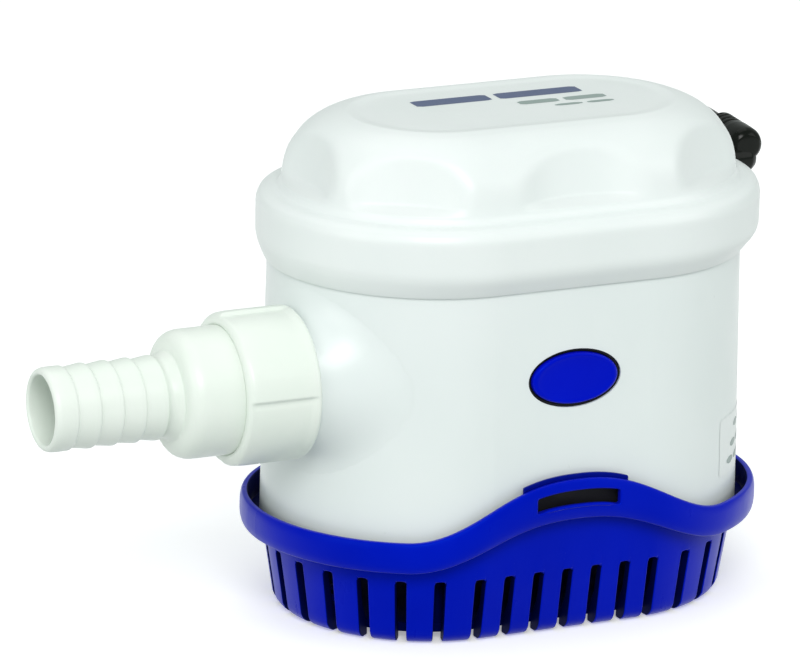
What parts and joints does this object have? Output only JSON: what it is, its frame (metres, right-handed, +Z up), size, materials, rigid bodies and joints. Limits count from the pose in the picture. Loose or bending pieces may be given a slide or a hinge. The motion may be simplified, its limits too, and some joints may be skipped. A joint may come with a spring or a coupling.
{
  "type": "bilge pump",
  "caption": "Automatic submersible bilge pump: oval sealed body, snap-off slotted strainer base, side hose barb with union nut, test button and jacketed lead.",
  "frame": {"origin": "on the resting plane, at the middle of the strainer base's centre pad, under the middle of the oval body", "axes": "+Z up; +X along the oval body away from the hose outlet; -Y towards the side with the test button"},
  "size_m": [0.1996, 0.168, 0.1157],
  "materials": {
    "base_plastic": "semi-gloss moulded polypropylene",
    "latch_plastic": "moulded polypropylene in shade",
    "housing_plastic": "satin moulded ABS",
    "lid_plastic": "satin moulded ABS",
    "fitting_plastic": "moulded nylon, faintly green white",
    "button_plastic": "semi-gloss moulded",
    "impeller_plastic": "moulded acetal",
    "inner_plastic": "natural moulded",
    "float_foam": "closed-cell float",
    "black_rubber": "moulded rubber",
    "cord_jacket": "smooth PVC jacket",
    "core_brown_pvc": "PVC insulation",
    "core_striped_pvc": "PVC insulation with a pale stripe",
    "core_black_pvc": "PVC insulation",
    "steel": "stainless",
    "zinc_steel": "zinc plated",
    "lamination": "stacked laminations",
    "copper": "enamelled copper",
    "bronze": "sintered bronze",
    "ferrite": "sintered ferrite",
    "carbon": "pressed carbon",
    "board": "glass-epoxy with solder mask",
    "chips": "moulded epoxy",
    "label": "printed vinyl"
  },
  "bodies": {
    "base": {"strainer_base": "base_plastic"},
    "band_front": {"release_band_front": "base_plastic", "latch_front": "latch_plastic"},
    "band_rear": {"release_band_rear": "base_plastic", "latch_rear": "latch_plastic"},
    "pump": {"pump_housing": "housing_plastic", "lid": "lid_plastic", "lid_seal": "black_rubber", "volute": "inner_plastic", "float_retainer": "inner_plastic", "motor_can": "zinc_steel", "motor_end_cap": "inner_plastic", "magnets": "ferrite", "upper_bearing": "bronze", "lower_bearing": "bronze", "shaft_seal": "black_rubber", "brushes": "carbon", "brush_springs": "steel", "control_board": "board", "board_parts": "chips", "button_spring": "steel", "hose_barb": "fitting_plastic", "outlet_o_ring": "black_rubber", "flap_pin": "steel", "cable_gland": "black_rubber", "rating_label": "label", "top_label": "label", "cord": "cord_jacket", "cord_coil": "cord_jacket", "core_brown": "core_brown_pvc", "core_striped": "core_striped_pvc", "core_black": "core_black_pvc"},
    "rotor": {"shaft": "steel", "armature_core": "lamination", "windings": "copper", "commutator": "copper", "impeller": "impeller_plastic"},
    "float": {"float": "float_foam", "float_magnet": "ferrite"},
    "button": {"test_button": "button_plastic"},
    "nut": {"union_nut": "fitting_plastic"},
    "flap": {"check_flap": "black_rubber"}
  },
  "joints": [
    {"name": "pump_lift", "type": "slide", "parent": "base", "child": "pump", "axis": [0, 0, 1], "range_m": [0, 0.04]},
    {"name": "band_release_front", "type": "hinge", "parent": "base", "child": "band_front", "pos_m": [0, -0.0362, 0.0176], "axis": [1, 0, 0], "range_deg": [0, 3], "stiffness_Nm_per_rad": 2},
    {"name": "band_release_rear", "type": "hinge", "parent": "base", "child": "band_rear", "pos_m": [0, 0.0362, 0.0176], "axis": [1, 0, 0], "range_deg": [-3, 0], "stiffness_Nm_per_rad": 2},
    {"name": "rotor_spin", "type": "hinge", "parent": "pump", "child": "rotor", "pos_m": [-0.006, 0.004, 0.022], "axis": [0, 0, 1], "continuous": true},
    {"name": "float_rise", "type": "slide", "parent": "pump", "child": "float", "axis": [0, 0, 1], "range_m": [0, 0.013]},
    {"name": "test_button_press", "type": "slide", "parent": "pump", "child": "button", "axis": [0, 1, 0], "range_m": [0, 0.0016], "stiffness_N_per_m": 900, "springref_m": -0.0005, "deforming": ["button_spring"]},
    {"name": "nut_turn", "type": "hinge", "parent": "pump", "child": "nut", "pos_m": [-0.066, -0.01, 0.059], "axis": [1, 0, 0], "continuous": true},
    {"name": "check_flap_open", "type": "hinge", "parent": "pump", "child": "flap", "pos_m": [-0.0629, -0.01, 0.0666], "axis": [0, 1, 0], "range_deg": [0, 55]}
  ],
  "couplings": [
    {"joint": "band_release_rear", "follows": "band_release_front", "ratio": -1}
  ]
}
